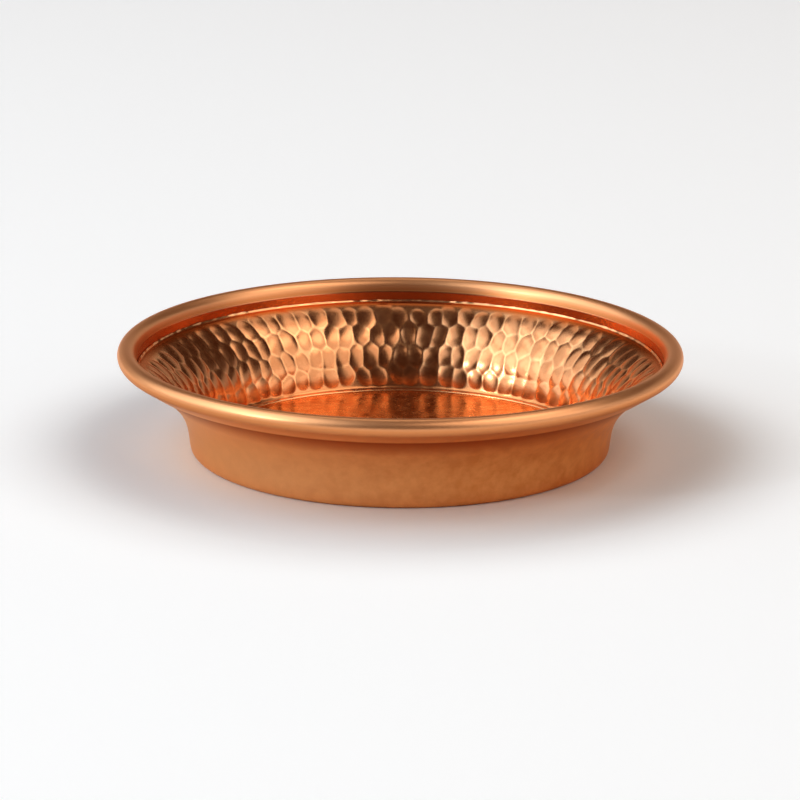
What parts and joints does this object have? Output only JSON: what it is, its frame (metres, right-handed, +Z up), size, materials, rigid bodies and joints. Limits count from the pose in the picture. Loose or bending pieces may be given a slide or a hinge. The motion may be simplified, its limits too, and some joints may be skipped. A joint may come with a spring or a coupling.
{
  "type": "offering bowl",
  "caption": "Shallow round copper offering bowl with a smooth flared outer wall, a rolled rim, and a hammered liner around a flat floor.",
  "frame": {"origin": "middle of the flat base, on the surface that the bowl stands on", "axes": "+Z up along the bowl's axis of symmetry; +Y away from the picture's camera, +X to its right"},
  "size_m": [0.09, 0.09, 0.0172],
  "materials": {
    "outer_shell": "satin, spun copper",
    "rim_wire": "plain drawn wire",
    "floor_disc": "polished flat sheet",
    "hammered_liner": "hand-hammered, satin"
  },
  "bodies": {
    "root": {"outer_shell": "outer_shell", "rim_wire": "rim_wire", "floor_disc": "floor_disc", "hammered_liner": "hammered_liner"}
  },
  "joints": []
}
